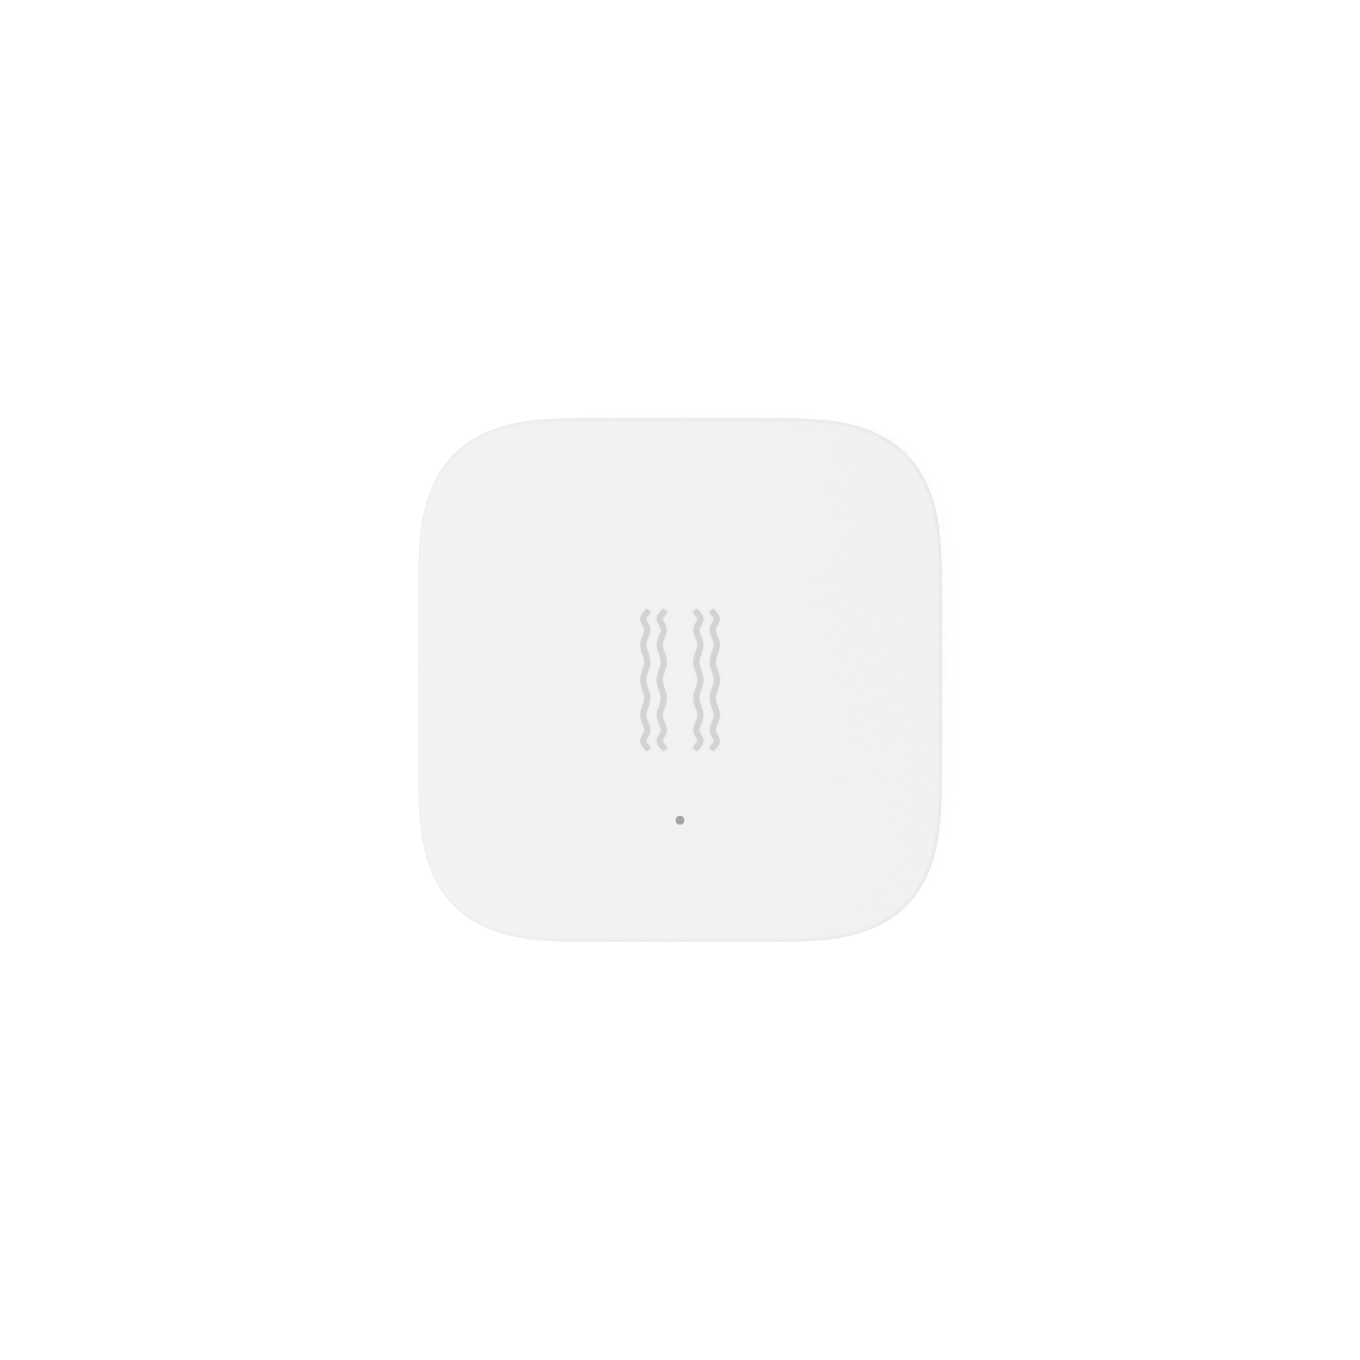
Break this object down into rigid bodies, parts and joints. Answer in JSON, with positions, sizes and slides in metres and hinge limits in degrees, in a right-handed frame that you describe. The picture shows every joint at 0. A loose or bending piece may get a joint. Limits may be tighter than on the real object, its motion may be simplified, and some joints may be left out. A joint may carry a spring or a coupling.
{
  "type": "vibration sensor tag",
  "caption": "Rounded-square stick-on vibration sensor with a wavy-line mark, a tiny indicator light, a side button and a twist-off battery cover in its back.",
  "frame": {"origin": "centre of the adhesive face, the lowest face of the part", "axes": "+Z out of the front face, +Y towards the top edge of the face, +X to the right seen from the front"},
  "size_m": [0.036, 0.036, 0.009],
  "materials": {
    "shell_plastic": "fine moulded texture, satin white",
    "grey_ink": "printed light grey",
    "clear_plastic": "frosted clear",
    "button_plastic": "satin white",
    "base_plastic": "fine moulded texture, satin white",
    "pad_foam": "closed-cell acrylic foam tape",
    "cover_plastic": "fine moulded texture, satin white",
    "seal_rubber": "soft silicone",
    "cell_steel": "nickel-plated steel",
    "cell_gasket": "black sealing ring",
    "contact_nickel": "nickel-plated spring sheet",
    "board_mask": "green solder mask",
    "screw_steel": "zinc-plated",
    "chip_epoxy": "black moulding compound",
    "crystal_metal": "plated lid on ceramic",
    "antenna_copper": "gold-flashed copper",
    "led_lens": "clear resin",
    "capacitor_ceramic": "tan ceramic",
    "resistor_film": "black glaze",
    "bulk_resin": "yellow resin",
    "switch_plastic": "black moulded",
    "switch_steel": "stamped sheet",
    "plunger_plastic": "grey moulded"
  },
  "bodies": {
    "housing": {"front_shell": "shell_plastic", "vibration_mark": "grey_ink", "light_pipe": "clear_plastic", "rear_base": "base_plastic", "adhesive_pad": "pad_foam", "coin_cell_can": "cell_steel", "coin_cell_gasket": "cell_gasket", "coin_cell_cap": "cell_steel", "negative_contact": "contact_nickel", "positive_contact": "contact_nickel", "circuit_board": "board_mask", "board_screws": "screw_steel", "radio_microcontroller": "chip_epoxy", "accelerometer": "chip_epoxy", "radio_crystal": "crystal_metal", "clock_crystal": "crystal_metal", "antenna_trace": "antenna_copper", "indicator_led": "led_lens", "ceramic_capacitors": "capacitor_ceramic", "chip_resistors": "resistor_film", "bulk_capacitor": "bulk_resin", "switch_body": "switch_plastic", "switch_plate": "switch_steel", "switch_dome": "contact_nickel"},
    "reset_button": {"reset_button": "button_plastic"},
    "switch_plunger": {"switch_plunger": "plunger_plastic"},
    "cover_seal": {"cover_seal": "seal_rubber"},
    "battery_cover": {"battery_cover": "cover_plastic"}
  },
  "joints": [
    {"name": "reset_button_press", "type": "slide", "parent": "housing", "child": "reset_button", "axis": [0, -1, 0], "range_m": [0, 0.00025], "stiffness_N_per_m": 800, "springref_m": -0.001},
    {"name": "switch_plunger_press", "type": "slide", "parent": "housing", "child": "switch_plunger", "axis": [0, -1, 0], "range_m": [0, 0.00025], "deforming": ["switch_dome"]},
    {"name": "cover_lift", "type": "slide", "parent": "housing", "child": "cover_seal", "axis": [0, 0, -1], "range_m": [0, 0.0007]},
    {"name": "cover_twist", "type": "hinge", "parent": "cover_seal", "child": "battery_cover", "pos_m": [0, 0, 0], "axis": [0, 0, -1], "range_deg": [0, 60]}
  ],
  "couplings": [
    {"joint": "switch_plunger_press", "follows": "reset_button_press", "ratio": 1},
    {"joint": "cover_twist", "follows": "cover_lift", "rad_per_m": 1496}
  ]
}
